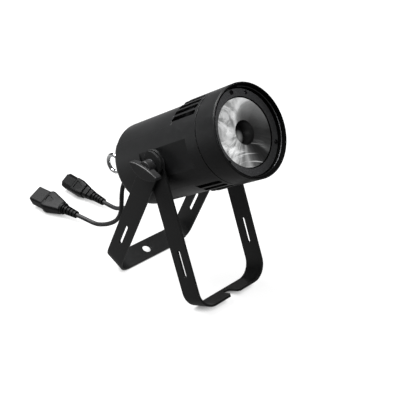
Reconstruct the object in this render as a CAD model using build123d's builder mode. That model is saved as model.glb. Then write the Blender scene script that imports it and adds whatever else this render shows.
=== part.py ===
from build123d import *
import math
import os

os.makedirs("parts", exist_ok=True)

# Compact LED theatre spotlight with a double bracket, two leads and their connectors.
# Frame: origin at the centre of the clamp hole on the outer face of the rear
# bracket's bottom plate, +Z up, -Y the way the lamp points, +X the lamp's left
# as seen from behind. Every length is in millimetres, every angle in degrees.
#
# Places in the head are given as x, up (square to the beam) and station
# (distance ahead of the pivot along the beam).

# ---------------------------------------------------------------- dimensions
HEAD_R = 60.0
REAR_FACE = -90.0       # station of the head's rear face
REAR_WALL_IN = -82.0    # inner face of the housing's rear wall
SEAM = 83.4             # front face of the housing
HOOD_BACK = 84.2        # rear face of the front hood
HOOD_RIM = 117.6        # front rim of the hood
BORE_R = 53.5           # housing bore
RECESS_R = 57.0         # radius of the sunk top and bottom sectors
SECTOR_HALF = 49.0      # half width of the sunk sectors
TILT = 29.5             # beam elevation

TOP = 90.0              # angle of the top of the head, round the beam
SLOT_COUNT = 10         # ventilation slots in each group
SLOT_PITCH = 9.3        # degrees
SLOT_WIDTH = 6.5
SLOT_BACK = 29.0
SLOT_FRONT = 79.0

BAR_WIDTH = 30.0        # bracket flat bar
BAR_T = 3.0
BEND_R = 26.0           # outer bend radius
ARM_TOP = 19.5          # arm end above the pivot
REAR_LEN = 206.0        # pivot to the outer face of the bottom plate
REAR_HALF = 69.8        # half the outer width
REAR_LEAN = 25.2        # foot swung back from vertical
FRONT_LEN = 201.0
FRONT_HALF = 64.4
FRONT_LEAN = 21.3       # foot swung forward from vertical
CLAMP_R = 6.5
ARM_SLOT_WIDTH = 5.0
ARM_SLOT_START = 115.0  # distances from the pivot
ARM_SLOT_END = 152.0

STUD_R = 4.0            # M8 clamping stud
PIVOT_HOLE_R = 4.08
PAD_X = 57.0            # flat side pads
INSERT_R = 7.0          # threaded insert in each pad
WASHER_HOLE_R = 4.2
GAP = 0.05              # clearance between stacked side parts

PLATE_R = 54.1          # lens plate
PLATE_BACK = 104.0
PLATE_FRONT = 107.0
LENS_HOLE_R = 43.8
IR_SPOT = (23.6, 44.5)  # x, up of the infrared receiver
IR_HOLE_R = 2.6

HEATSINK_BACK = 50.0    # rear of the heatsink's plate
HEATSINK_FACE = 57.0
THERMAL_PAD_T = 0.6
BOARD_T = 1.6           # every circuit board
LED_BOARD_BACK = HEATSINK_FACE + THERMAL_PAD_T
LED_BOARD_FACE = LED_BOARD_BACK + BOARD_T
HOLDER_FOOT_FACE = 61.5

SHANK_R = 1.5           # small screws
PILOT_R = 1.55
CLEAR_R = 1.7
CABLE_R = 3.3


def cosd(angle):
    return math.cos(math.radians(angle))


def sind(angle):
    return math.sin(math.radians(angle))


def ring(radius, *angles):
    """Points at the given angles on a circle."""
    return [(radius * cosd(angle), radius * sind(angle)) for angle in angles]


FRONT_SCREWS = ring(50.4, 90, 210, 330)
HEATSINK_SCREWS = ring(50.6, 20, 160, 200, 340)
LED_SCREWS = ring(23.6, 30, 150, 270)
PANEL_SCREWS = ring(43.5, 45, 135, 225, 315)

# ------------------------------------------------------------------- planes
SIDE = Vector(1, 0, 0)
BEAM = Vector(0, -cosd(TILT), sind(TILT))
HEAD_UP = Vector(0, sind(TILT), cosd(TILT))
REAR_DOWN = Vector(0, sind(REAR_LEAN), -cosd(REAR_LEAN))     # along the rear arms
FRONT_DOWN = Vector(0, -sind(FRONT_LEAN), -cosd(FRONT_LEAN))
PIVOT = REAR_DOWN * -REAR_LEN
BEAM_AXIS = Axis(PIVOT, BEAM)

# Half section through the beam; outlines drawn on it are (station, radius).
SECTION = Plane(origin=PIVOT, x_dir=BEAM, z_dir=(-1, 0, 0))


def across(station):
    """Plane square to the beam, local x and up, normal forwards."""
    return Plane(origin=PIVOT, x_dir=(1, 0, 0), z_dir=BEAM).offset(station)


def head_point(x, up, station):
    return PIVOT + SIDE * x + HEAD_UP * up + BEAM * station


def radial(angle):
    """Direction round the beam, 0 at -X and 90 at the top."""
    return SIDE * -cosd(angle) + HEAD_UP * sind(angle)


def section_at(angle):
    """Half section turned to an angle round the beam."""
    return Plane(origin=PIVOT, x_dir=BEAM, z_dir=BEAM.cross(radial(angle)))


def tangent_at(angle):
    """Plane through the beam axis whose normal is the radial direction."""
    return Plane(origin=PIVOT, x_dir=BEAM, z_dir=radial(angle))


def side_plane(x, sign):
    """Plane at sign * x facing out of the lamp's side, local x along +Y."""
    return Plane(origin=PIVOT + SIDE * (sign * x), x_dir=(0, 1, 0), z_dir=(sign, 0, 0))


def path_start(path):
    """Plane square to a path at its start."""
    return Plane(origin=path @ 0, z_dir=path % 0)


def cap_mid(top, edge, edge_r):
    """Section point at half the edge radius of a spherical cap centred on the beam axis."""
    centre = (top ** 2 - edge ** 2 - edge_r ** 2) / (2 * (top - edge))
    sphere_r = abs(top - centre)
    rise = math.sqrt(sphere_r * sphere_r - edge_r * edge_r / 4)
    return (centre + math.copysign(rise, top - centre), edge_r / 2)


def save(builder, name):
    builder.part.label = name
    export_step(builder.part, "parts/%s.step" % name)


# ------------------------------------------------------------ shared screws
def cross_screws(points, face, sense, shank_len, turn):
    """Cross-recess screws on a face; the heads stand forwards for sense 1, back for -1."""
    head_h = 1.7
    with BuildPart() as screws:
        with BuildSketch(across(face)):
            with Locations(*points):
                Circle(2.8)
        extrude(amount=sense * head_h)
        rims = screws.edges().filter_by(GeomType.CIRCLE).group_by(BEAM_AXIS)
        chamfer(rims[-1 if sense > 0 else 0], 0.6)
        with BuildSketch(across(face)):
            with Locations(*points):
                Circle(SHANK_R)
        extrude(amount=-sense * shank_len)
        with BuildSketch(across(face + sense * head_h)):
            with Locations(*points):
                Rectangle(3.2, 0.8, rotation=turn)
                Rectangle(0.8, 3.2, rotation=turn)
        extrude(amount=-sense * 1.1, mode=Mode.SUBTRACT)
    return screws


def plain_screws(points, face, head_r, shank_len):
    """Flat-topped screws with their heads on the front of a face."""
    with BuildPart() as screws:
        with BuildSketch(across(face)):
            with Locations(*points):
                Circle(head_r)
        extrude(amount=1.8)
        with BuildSketch(across(face)):
            with Locations(*points):
                Circle(SHANK_R)
        extrude(amount=-shank_len)
    return screws


# ------------------------------------------------------------------ housing
PANEL_R = 48.0
PANEL_T = 3.0
PANEL_IN = REAR_FACE + PANEL_T     # inner face of the rear panel
EYE_SPOT = (-41, 17)               # x, up of the safety eyelet
RAMP_BACK = 29                     # ramp from the sunk sectors to the full radius
RAMP_FRONT = 36
POST_R = 4
POST_BACK = 68                     # rear of the front screw posts

with BuildPart() as housing:
    with BuildSketch(SECTION):
        with BuildLine():
            Polyline((REAR_FACE, 0), (REAR_FACE, HEAD_R), (SEAM, HEAD_R), (SEAM, BORE_R),
                     (REAR_WALL_IN, BORE_R), (REAR_WALL_IN, 0), close=True)
        make_face()
    revolve(axis=BEAM_AXIS)
    outer_rims = housing.edges().filter_by(GeomType.CIRCLE).filter_by(
        lambda edge: abs(edge.radius - HEAD_R) < 0.01)
    fillet(outer_rims.sort_by(BEAM_AXIS)[0], 9)
    # rear panel recess and opening
    for radius, depth in ((PANEL_R + 0.05, PANEL_T), (37.5, 9)):
        with BuildSketch(across(REAR_FACE)):
            Circle(radius)
        extrude(amount=depth, mode=Mode.SUBTRACT)
    # sunk sectors, top and bottom, with a ramp up to the slotted zone
    for start in (TOP + SECTOR_HALF, -TOP + SECTOR_HALF):
        with BuildSketch(section_at(start)):
            with BuildLine():
                Polyline((REAR_FACE - 2, RECESS_R), (RAMP_BACK, RECESS_R),
                         (RAMP_FRONT, HEAD_R + 0.01), (RAMP_FRONT, HEAD_R + 3),
                         (REAR_FACE - 2, HEAD_R + 3), close=True)
            make_face()
        revolve(axis=BEAM_AXIS, revolution_arc=2 * SECTOR_HALF, mode=Mode.SUBTRACT)
    for sign in (-1, 1):
        # flat side pad
        with BuildSketch(Plane(origin=PIVOT + SIDE * (sign * PAD_X), x_dir=BEAM,
                               z_dir=(sign, 0, 0))):
            with Locations((17, 0)):
                Rectangle(94, 40)
        extrude(amount=4, mode=Mode.SUBTRACT)
        # boss for the threaded insert
        with BuildSketch(side_plane(45.5, sign)):
            Circle(11)
        extrude(amount=10.5)
        with BuildSketch(side_plane(45, sign)):
            Circle(INSERT_R)
        extrude(amount=14, mode=Mode.SUBTRACT)
    # posts for the heatsink and front screws
    with BuildSketch(across(30)):
        with Locations(*HEATSINK_SCREWS):
            Circle(POST_R)
    extrude(amount=HEATSINK_BACK - 30)
    with BuildSketch(across(POST_BACK)):
        with Locations(*FRONT_SCREWS):
            Circle(POST_R)
    extrude(amount=SEAM - POST_BACK)
    # screw holes in the posts
    for station, points in ((HEATSINK_BACK + 2, HEATSINK_SCREWS), (SEAM + 1, FRONT_SCREWS)):
        with BuildSketch(across(station)):
            with Locations(*points):
                Circle(PILOT_R)
        extrude(amount=-13, mode=Mode.SUBTRACT)
    # panel screw holes and eyelet hole
    with BuildSketch(across(REAR_FACE)):
        with Locations(*PANEL_SCREWS):
            Circle(PILOT_R)
        with Locations(EYE_SPOT):
            Circle(3.05)
    extrude(amount=9, mode=Mode.SUBTRACT)
    # ventilation slots
    for centre in (TOP, -TOP):
        for k in range(SLOT_COUNT):
            angle = centre + (k - (SLOT_COUNT - 1) / 2) * SLOT_PITCH
            with BuildSketch(tangent_at(angle).offset(51.2)):
                with Locations(((SLOT_BACK + SLOT_FRONT) / 2, 0)):
                    SlotOverall(SLOT_FRONT - SLOT_BACK, SLOT_WIDTH)
            extrude(amount=10, mode=Mode.SUBTRACT)
save(housing, "housing")

# --------------------------------------------------------------- front hood
SEAT_R = PLATE_R + 0.05            # pocket for the lens plate
SEAT_FRONT = PLATE_FRONT + 0.2
HOOD_OUTLINE = (
    # outer wall and rim
    (HOOD_BACK, 53.5), (HOOD_BACK, 59.4), (HOOD_BACK + 0.6, HEAD_R),
    (HOOD_RIM - 1.2, HEAD_R), (HOOD_RIM, 58.8), (HOOD_RIM, 57.4), (HOOD_RIM - 1.0, 56.4),
    # groove of the spring ring
    (112.4, 56.0), (112.4, 57.0), (110.6, 57.0), (110.6, 55.9),
    # lens plate seat and inner ledge
    (SEAT_FRONT, 55.4), (SEAT_FRONT, SEAT_R), (PLATE_BACK, SEAT_R),
    (PLATE_BACK, 46.8), (98, 46.8), (97, 47.8), (97, 53.5),
)

with BuildPart() as hood_ring:
    with BuildSketch(SECTION):
        with BuildLine():
            Polyline(*HOOD_OUTLINE, close=True)
        make_face()
    revolve(axis=BEAM_AXIS)
    with BuildSketch(across(HOOD_BACK)):
        with Locations(*FRONT_SCREWS):
            Circle(POST_R)
    extrude(amount=13.5)
    with BuildSketch(across(HOOD_BACK - 1)):
        with Locations(*FRONT_SCREWS):
            Circle(CLEAR_R)
        with Locations(IR_SPOT):
            Circle(IR_HOLE_R)
    extrude(amount=22, mode=Mode.SUBTRACT)
save(hood_ring, "hood_ring")

with BuildPart() as hood_gasket:
    with BuildSketch(across(SEAM)):
        Circle(58.9)
        Circle(BORE_R, mode=Mode.SUBTRACT)
        with Locations(*FRONT_SCREWS):
            Circle(POST_R + 0.3, mode=Mode.SUBTRACT)
    extrude(amount=HOOD_BACK - SEAM)
save(hood_gasket, "hood_gasket")

# split wire ring with its gap at the top
RING_GAP_HALF = 8
with BuildPart() as diffuser_spring_ring:
    with BuildSketch(section_at(TOP - RING_GAP_HALF)):
        with Locations((111.5, 55.95)):
            Circle(0.85)
    revolve(axis=BEAM_AXIS, revolution_arc=360 - 2 * RING_GAP_HALF)
save(diffuser_spring_ring, "diffuser_spring_ring")

# --------------------------------------------------------------- lens plate
with BuildPart() as lens_plate:
    with BuildSketch(across(PLATE_BACK)):
        Circle(PLATE_R)
        Circle(LENS_HOLE_R, mode=Mode.SUBTRACT)
        with Locations(*FRONT_SCREWS):
            Circle(CLEAR_R, mode=Mode.SUBTRACT)
        with Locations(IR_SPOT):
            Circle(IR_HOLE_R, mode=Mode.SUBTRACT)
    extrude(amount=PLATE_FRONT - PLATE_BACK)
    hole_rims = lens_plate.edges().filter_by(GeomType.CIRCLE).filter_by(
        lambda edge: abs(edge.radius - LENS_HOLE_R) < 0.01)
    chamfer(hole_rims.sort_by(BEAM_AXIS)[-1], 0.6)
save(lens_plate, "lens_plate")

save(cross_screws(FRONT_SCREWS, PLATE_FRONT, sense=1, shank_len=35, turn=0),
     "lens_plate_screws")

# domed cylinder, turned on the beam axis and then moved to its place
IR_R = 2.5
IR_BACK = 99
IR_SHOULDER = 105.2
IR_TIP = 106.7
with BuildPart() as ir_receiver:
    with BuildSketch(SECTION):
        with BuildLine():
            Line((IR_BACK, 0), (IR_BACK, IR_R))
            Line((IR_BACK, IR_R), (IR_SHOULDER, IR_R))
            ThreePointArc((IR_SHOULDER, IR_R), cap_mid(IR_TIP, IR_SHOULDER, IR_R), (IR_TIP, 0))
            Line((IR_TIP, 0), (IR_BACK, 0))
        make_face()
    revolve(axis=BEAM_AXIS)
ir_receiver.part = ir_receiver.part.moved(Location(SIDE * IR_SPOT[0] + HEAD_UP * IR_SPOT[1]))
save(ir_receiver, "ir_receiver")

# ------------------------------------------------------------------- optics
with BuildPart() as collimator_lens:
    with BuildSketch(SECTION):
        with BuildLine():
            # front: domed centre, well wall, front face and rim flange
            ThreePointArc((91, 0), cap_mid(91, 86.5, 14.6), (86.5, 14.6))
            Polyline((86.5, 14.6), (105.4, 15.4), (106, 43.0), (103.3, 43.0),
                     (103.3, 45.6), (100.5, 45.6), (100.5, 43.0))
            # curved flank down to the rear pocket
            ThreePointArc((100.5, 43.0), (83, 33.2), (66.2, 17))
            Polyline((66.2, 17), (66.2, 10.5), (76, 9.2))
            ThreePointArc((76, 9.2), cap_mid(78.2, 76, 9.2), (78.2, 0))
            Line((78.2, 0), (91, 0))
        make_face()
    revolve(axis=BEAM_AXIS)
save(collimator_lens, "collimator_lens")

with BuildPart() as lens_gasket:
    with BuildSketch(across(103.35)):
        Circle(46.4)
        Circle(43.1, mode=Mode.SUBTRACT)
    extrude(amount=0.6)
save(lens_gasket, "lens_gasket")

with BuildPart() as lens_holder:
    with BuildSketch(SECTION):
        with BuildLine():
            Polyline((LED_BOARD_FACE, 14), (LED_BOARD_FACE, 27), (HOLDER_FOOT_FACE, 27),
                     (HOLDER_FOOT_FACE, 20.2), (66.0, 20.6))
            ThreePointArc((66.0, 20.6), (83, 36.6), (99.6, 46.0))
            Polyline((99.6, 46.0), (100.4, 46.0), (100.4, 43.9))
            ThreePointArc((100.4, 43.9), (83, 34.6), (66.2, 18.6))
            Polyline((66.2, 18.6), (63.5, 14), (LED_BOARD_FACE, 14))
        make_face()
    revolve(axis=BEAM_AXIS)
    with BuildSketch(across(58)):
        with Locations(*LED_SCREWS):
            Circle(CLEAR_R)
    extrude(amount=4.5, mode=Mode.SUBTRACT)
save(lens_holder, "lens_holder")

# --------------------------------------------------------------- LED engine
with BuildPart() as thermal_pad:
    with BuildSketch(across(HEATSINK_FACE)):
        Circle(26)
        with Locations(*LED_SCREWS):
            Circle(2.0, mode=Mode.SUBTRACT)
    extrude(amount=THERMAL_PAD_T)
save(thermal_pad, "thermal_pad")

with BuildPart() as led_board:
    with BuildSketch(across(LED_BOARD_BACK)):
        Circle(27)
        with Locations(*LED_SCREWS):
            Circle(CLEAR_R, mode=Mode.SUBTRACT)
    extrude(amount=BOARD_T)
save(led_board, "led_board")

# square base with a dome
DOME_BACK = LED_BOARD_FACE + 1.6
DOME_TIP = DOME_BACK + 5
DOME_R = 5.6
with BuildPart() as led_emitter:
    with BuildSketch(across(LED_BOARD_FACE)):
        Rectangle(14, 14)
    extrude(amount=DOME_BACK - LED_BOARD_FACE)
    with BuildSketch(SECTION):
        with BuildLine():
            Line((DOME_BACK, 0), (DOME_BACK, DOME_R))
            ThreePointArc((DOME_BACK, DOME_R), cap_mid(DOME_TIP, DOME_BACK, DOME_R),
                          (DOME_TIP, 0))
            Line((DOME_TIP, 0), (DOME_BACK, 0))
        make_face()
    revolve(axis=BEAM_AXIS)
save(led_emitter, "led_emitter")

save(plain_screws(LED_SCREWS, HOLDER_FOOT_FACE, head_r=2.6, shank_len=10.5),
     "led_board_screws")

# core and radial fins behind a round plate
FINS_BACK = 12
with BuildPart() as heatsink:
    with BuildSketch(across(FINS_BACK)):
        Circle(12)
        with PolarLocations(28.0, 20):
            Rectangle(35, 2.2)
    extrude(amount=HEATSINK_BACK - FINS_BACK)
    with BuildSketch(across(HEATSINK_BACK)):
        Circle(53.2)
    extrude(amount=HEATSINK_FACE - HEATSINK_BACK)
    # mounting screw holes and LED wire holes
    with BuildSketch(across(HEATSINK_BACK - 1)):
        with Locations(*HEATSINK_SCREWS):
            Circle(CLEAR_R)
        with Locations(*ring(29.5, 243, 297)):
            Circle(2.2)
    extrude(amount=9, mode=Mode.SUBTRACT)
    with BuildSketch(across(HEATSINK_FACE + 0.5)):
        with Locations(*LED_SCREWS):
            Circle(PILOT_R)
    extrude(amount=-7, mode=Mode.SUBTRACT)
save(heatsink, "heatsink")

save(plain_screws(HEATSINK_SCREWS, HEATSINK_FACE, head_r=2.55, shank_len=17),
     "heatsink_screws")

# -------------------------------------------------------------- electronics
# Chassis plane: local x and distance behind the pivot, normal up.
CHASSIS = Plane(origin=PIVOT + HEAD_UP * -30, x_dir=(1, 0, 0), z_dir=HEAD_UP)
CHASSIS_T = 2
STANDOFF_H = 6
DRIVER_TOP = CHASSIS_T + STANDOFF_H + BOARD_T
DRIVER_SPOT = (0, 41)
MOUNT_GRID = (52, 40, 2, 2)        # spacing and count of the board standoffs
TRANSFORMER_SPOT = (10, 44)
LED_WIRE_X = 13.4
TERMINAL_PITCH = 7

with BuildPart() as chassis_plate:
    with BuildSketch(CHASSIS):
        with Locations((0, 45)):
            Rectangle(87, 58)
        with Locations(DRIVER_SPOT):
            with GridLocations(*MOUNT_GRID):
                Circle(PILOT_R, mode=Mode.SUBTRACT)
    extrude(amount=CHASSIS_T)
save(chassis_plate, "chassis_plate")

with BuildPart() as board_standoffs:
    with BuildSketch(CHASSIS.offset(CHASSIS_T)):
        with Locations(DRIVER_SPOT):
            with GridLocations(*MOUNT_GRID):
                RegularPolygon(3.0, 6)
    extrude(amount=STANDOFF_H)
save(board_standoffs, "board_standoffs")

with BuildPart() as driver_board:
    with BuildSketch(CHASSIS.offset(CHASSIS_T + STANDOFF_H)):
        with Locations(DRIVER_SPOT):
            Rectangle(60, 48)
    extrude(amount=BOARD_T)
save(driver_board, "driver_board")

with BuildPart() as driver_transformer:
    # height above the board, width and thickness of each layer
    for base, width, thickness in ((0, 26, 4), (4, 18, 12), (16, 26, 3)):
        with BuildSketch(CHASSIS.offset(DRIVER_TOP + base)):
            with Locations(TRANSFORMER_SPOT):
                Rectangle(width, 22)
        extrude(amount=thickness)
save(driver_transformer, "driver_transformer")

with BuildPart() as driver_capacitors:
    with BuildSketch(CHASSIS.offset(DRIVER_TOP)):
        with Locations((-14, 34), (-14, 48)):
            Circle(5.5)
    extrude(amount=20)
    can_rims = driver_capacitors.edges().filter_by(GeomType.CIRCLE)
    fillet(can_rims.group_by(Axis(PIVOT, HEAD_UP))[-1], 0.8)
save(driver_capacitors, "driver_capacitors")

# two small LED terminals in front, one row of mains terminals behind
MAINS_BLOCK_H = 10
with BuildPart() as terminal_blocks:
    with BuildSketch(CHASSIS.offset(DRIVER_TOP)):
        with Locations((-LED_WIRE_X, 21.0), (LED_WIRE_X, 21.0)):
            Rectangle(6, 8)
    extrude(amount=6)
    with BuildSketch(CHASSIS.offset(DRIVER_TOP)):
        with Locations((0, 60.5)):
            Rectangle(44, 8)
    extrude(amount=MAINS_BLOCK_H)
    with BuildSketch(CHASSIS.offset(DRIVER_TOP + MAINS_BLOCK_H)):
        with Locations((0, 60.5)):
            with GridLocations(TERMINAL_PITCH, 1, 6, 1):
                Circle(2)
    extrude(amount=-3, mode=Mode.SUBTRACT)
save(terminal_blocks, "terminal_blocks")

with BuildPart() as led_wires:
    for x in (-LED_WIRE_X, LED_WIRE_X):
        with BuildLine() as led_route:
            FilletPolyline(head_point(x, -26.3, 59.0), head_point(x, -26.3, -9),
                           head_point(x, -18, -13), head_point(x, -18, -16.9), radius=2)
        with BuildSketch(path_start(led_route.line)):
            Circle(0.9)
        sweep(path=led_route.line)
save(led_wires, "led_wires")

# -------------------------------------------------------------- rear panel
GLAND_X = 14.0
GLAND_UP = -8.0
GLAND_SPOTS = ((-GLAND_X, GLAND_UP), (GLAND_X, GLAND_UP))
BUTTON_UP = 9.5
BUTTON_SPOTS = {
    "button_menu": (-9.0, BUTTON_UP),
    "button_down": (3.0, BUTTON_UP),
    "button_up": (15.0, BUTTON_UP),
    "button_enter": (27.0, BUTTON_UP),
}
DISPLAY_SPOT = (5, 23)
PANEL_STANDOFFS = ((-17, 22), (28, 18))
CONTROL_BOARD = -80.5              # station of the control board's outer face

with BuildPart() as rear_panel:
    with BuildSketch(across(REAR_FACE)):
        Circle(PANEL_R)
        with Locations(*PANEL_SCREWS):
            Circle(CLEAR_R, mode=Mode.SUBTRACT)
        with Locations(*GLAND_SPOTS):
            Circle(6.05, mode=Mode.SUBTRACT)
        with Locations(*BUTTON_SPOTS.values()):
            Circle(3.05, mode=Mode.SUBTRACT)
        with Locations(DISPLAY_SPOT):
            RectangleRounded(30, 13, 1.5, mode=Mode.SUBTRACT)
        with Locations(EYE_SPOT):
            Circle(3.15, mode=Mode.SUBTRACT)
    extrude(amount=PANEL_T)
save(rear_panel, "rear_panel")

save(cross_screws(PANEL_SCREWS, REAR_FACE, sense=-1, shank_len=7.5, turn=45),
     "rear_panel_screws")

# pane in the panel opening with a flange behind it
with BuildPart() as display_window:
    # station, width, height and thickness of each layer
    for station, width, height, thickness in ((REAR_FACE, 29.9, 12.9, 2.6),
                                              (PANEL_IN, 33, 16, 1),
                                              (REAR_FACE + 2.6, 29.9, 12.9, 0.4)):
        with BuildSketch(across(station)):
            with Locations(DISPLAY_SPOT):
                RectangleRounded(width, height, 1.4)
        extrude(amount=thickness)
save(display_window, "display_window")

with BuildPart() as display_module:
    with BuildSketch(across(-86)):
        with Locations(DISPLAY_SPOT):
            Rectangle(30, 14)
    extrude(amount=5.4)
save(display_module, "display_module")

with BuildPart() as control_board:
    with BuildSketch(across(CONTROL_BOARD)):
        with Locations((6, 17)):
            Rectangle(56, 30)
        with Locations(*PANEL_STANDOFFS):
            Circle(1.6, mode=Mode.SUBTRACT)
    extrude(amount=BOARD_T)
save(control_board, "control_board")

with BuildPart() as panel_standoffs:
    with BuildSketch(across(PANEL_IN)):
        with Locations(*PANEL_STANDOFFS):
            RegularPolygon(2.9, 6)
    extrude(amount=CONTROL_BOARD - PANEL_IN)
save(panel_standoffs, "panel_standoffs")

SWITCH_H = 2.8
with BuildPart() as button_switches:
    with BuildSketch(across(CONTROL_BOARD - SWITCH_H)):
        with Locations(*BUTTON_SPOTS.values()):
            Rectangle(6, 6)
    extrude(amount=SWITCH_H)
save(button_switches, "button_switches")

for name, spot in BUTTON_SPOTS.items():
    with BuildPart() as button:
        with BuildSketch(across(-92.2)):
            with Locations(spot):
                Circle(3.0)
        extrude(amount=8.2)
        with BuildSketch(across(-86.8)):
            with Locations(spot):
                Circle(4.2)
        extrude(amount=1.4)
        fillet(button.edges().filter_by(GeomType.CIRCLE).group_by(BEAM_AXIS)[0], 0.7)
    save(button, name)


# ----------------------------------------------------- glands and lead boots
def gland(spot):
    """Hexagon, tapered cap and threaded tail round a cable way."""
    hex_len = 5
    with BuildPart() as body:
        with BuildSketch(across(REAR_FACE)):
            with Locations(spot):
                RegularPolygon(8.6, 6)
        extrude(amount=-hex_len)
        with BuildSketch(across(REAR_FACE - hex_len)):
            with Locations(spot):
                Circle(7.2)
        extrude(amount=-4, taper=18)
        with BuildSketch(across(REAR_FACE)):
            with Locations(spot):
                Circle(6.0)
        extrude(amount=8)
        with BuildSketch(across(REAR_FACE - 10)):
            with Locations(spot):
                Circle(CABLE_R)
        extrude(amount=20, mode=Mode.SUBTRACT)
    return body


CABLE_INNER_END = -81
BOOT_FRONT = -99.2
BOOT_BACK = -112.6


def boot(spot):
    """Length of cable through the gland and the tapered sleeve behind it."""
    with BuildPart() as body:
        with BuildSketch(across(CABLE_INNER_END)):
            with Locations(spot):
                Circle(CABLE_R)
        extrude(amount=-20)
        with BuildSketch(across(BOOT_FRONT)):
            with Locations(spot):
                Circle(5.6)
        extrude(amount=BOOT_BACK - BOOT_FRONT, taper=4)
    return body


for lead, spot in zip(("power_out", "power_in"), GLAND_SPOTS):
    save(gland(spot), lead + "_gland")
    save(boot(spot), lead + "_boot")

with BuildPart() as gland_nuts:
    with BuildSketch(across(PANEL_IN)):
        with Locations(*GLAND_SPOTS):
            RegularPolygon(8.4, 6)
            Circle(6.03, mode=Mode.SUBTRACT)
    extrude(amount=3.5)
save(gland_nuts, "gland_nuts")

# three cores from each cable end to the mains terminals
with BuildPart() as mains_wires:
    for sign in (-1, 1):
        for core in (-1, 0, 1):
            cable_x = sign * GLAND_X + core * 2.1
            terminal_x = (sign * 1.5 + core) * TERMINAL_PITCH
            with BuildLine() as mains_route:
                FilletPolyline(head_point(cable_x, GLAND_UP, CABLE_INNER_END),
                               head_point(cable_x, GLAND_UP, -78.5),
                               head_point(terminal_x, -15.0, -67.5),
                               head_point(terminal_x, -15.0, -64.6), radius=2)
            with BuildSketch(path_start(mains_route.line)):
                Circle(0.8)
            sweep(path=mains_route.line)
save(mains_wires, "mains_wires")

# ----------------------------------------------------------- safety eyelet
EYE_CENTRE = head_point(*EYE_SPOT, -109.0)
EYE_RING_R = 12.0

with BuildPart() as safety_eyelet:
    with BuildSketch(Plane(origin=EYE_CENTRE + HEAD_UP * EYE_RING_R, x_dir=HEAD_UP, z_dir=BEAM)):
        Circle(2.7)
    revolve(axis=Axis(EYE_CENTRE, (1, 0, 0)))
    # collar, neck and threaded tail: station, radius, length
    for station, radius, length in ((REAR_FACE, 6.5, -3), (REAR_FACE - 3, 4.0, -3.6),
                                    (REAR_FACE, 3.0, 12.5)):
        with BuildSketch(across(station)):
            with Locations(EYE_SPOT):
                Circle(radius)
        extrude(amount=length)
save(safety_eyelet, "safety_eyelet")

with BuildPart() as safety_eyelet_nut:
    with BuildSketch(across(REAR_WALL_IN)):
        with Locations(EYE_SPOT):
            RegularPolygon(5.6, 6)
            Circle(3.03, mode=Mode.SUBTRACT)
    extrude(amount=4)
save(safety_eyelet_nut, "safety_eyelet_nut")

# ---------------------------------------------------------------- brackets
# mouth of the front bracket's notch: x, distance ahead of the clamp centre
NOTCH_MOUTH = (
    (-CLAMP_R, 10.5), (-9.5, 12.8), (-11.0, 16), (9.5, 16),
    (8.3, 13.4), (CLAMP_R, 11.5), (CLAMP_R, 10.5), (-CLAMP_R, 10.5),
)


def bracket(down, length, half, notched):
    """U-shaped flat bar hung from the pivot along the direction down."""
    inner_half = half - BAR_T
    inner_len = length - BAR_T
    with BuildPart() as bar:
        with BuildSketch(Plane(origin=PIVOT, x_dir=(1, 0, 0), z_dir=SIDE.cross(down * -1))):
            with BuildLine():
                outer = FilletPolyline((-half, ARM_TOP), (-half, -length),
                                       (half, -length), (half, ARM_TOP), radius=BEND_R)
                inner = FilletPolyline((-inner_half, ARM_TOP), (-inner_half, -inner_len),
                                       (inner_half, -inner_len), (inner_half, ARM_TOP),
                                       radius=BEND_R - BAR_T)
                Line(outer @ 0, inner @ 0)
                Line(outer @ 1, inner @ 1)
            make_face()
        extrude(amount=BAR_WIDTH / 2, both=True)
        # rounded arm ends
        fillet(bar.edges().filter_by(Axis.X).group_by(Axis(PIVOT, down))[0], 12)
        # pivot holes and arm slots
        with BuildSketch(Plane(origin=PIVOT, x_dir=down, z_dir=(1, 0, 0))):
            Circle(PIVOT_HOLE_R)
            with Locations(((ARM_SLOT_START + ARM_SLOT_END) / 2, 0)):
                SlotOverall(ARM_SLOT_END - ARM_SLOT_START, ARM_SLOT_WIDTH)
        extrude(amount=80, both=True, mode=Mode.SUBTRACT)
        # clamp hole, or a notch open to the plate's front edge
        with BuildSketch(Plane(origin=PIVOT + down * length, x_dir=(1, 0, 0), z_dir=down)):
            Circle(CLAMP_R)
            if notched:
                with Locations((0, 9)):
                    Rectangle(2 * CLAMP_R, 18)
                with BuildLine():
                    Polyline(*NOTCH_MOUTH)
                make_face()
        extrude(amount=BAR_T + 2, both=True, mode=Mode.SUBTRACT)
    return bar


save(bracket(REAR_DOWN, REAR_LEN, REAR_HALF, notched=False), "rear_bracket")
save(bracket(FRONT_DOWN, FRONT_LEN, FRONT_HALF, notched=True), "front_bracket")


# ------------------------------------------------------- pivots and knobs
def side_rings(signs, start_x, radius, hole_r, thickness, rim_chamfer=0):
    """Rings round the pivot axis, growing outwards from start_x on each side."""
    with BuildPart() as rings:
        for sign in signs:
            with BuildSketch(side_plane(start_x, sign)):
                Circle(radius)
                Circle(hole_r, mode=Mode.SUBTRACT)
            extrude(amount=thickness)
        if rim_chamfer:
            rims = rings.edges().filter_by(GeomType.CIRCLE).filter_by(
                lambda edge: abs(edge.radius - radius) < 0.01)
            chamfer(rims, rim_chamfer)
    return rings


INSERT_X = 46
save(side_rings((-1, 1), INSERT_X, INSERT_R, 4.05, PAD_X - INSERT_X), "pivot_inserts")
save(side_rings((-1, 1), PAD_X, 13, WASHER_HOLE_R, FRONT_HALF - BAR_T - PAD_X - GAP,
                rim_chamfer=0.5), "friction_washers")
save(side_rings((-1, 1), FRONT_HALF, 12, WASHER_HOLE_R, REAR_HALF - BAR_T - FRONT_HALF - GAP),
     "spacer_washers")

HUB_X = REAR_HALF + 1.65           # inner face of the knob
HUB_LEN = 9.6
WING_X = REAR_HALF + 5.2
WING_T = 9.4
STUD_X = 44
STUD_END_X = REAR_HALF + 9.6


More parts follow.
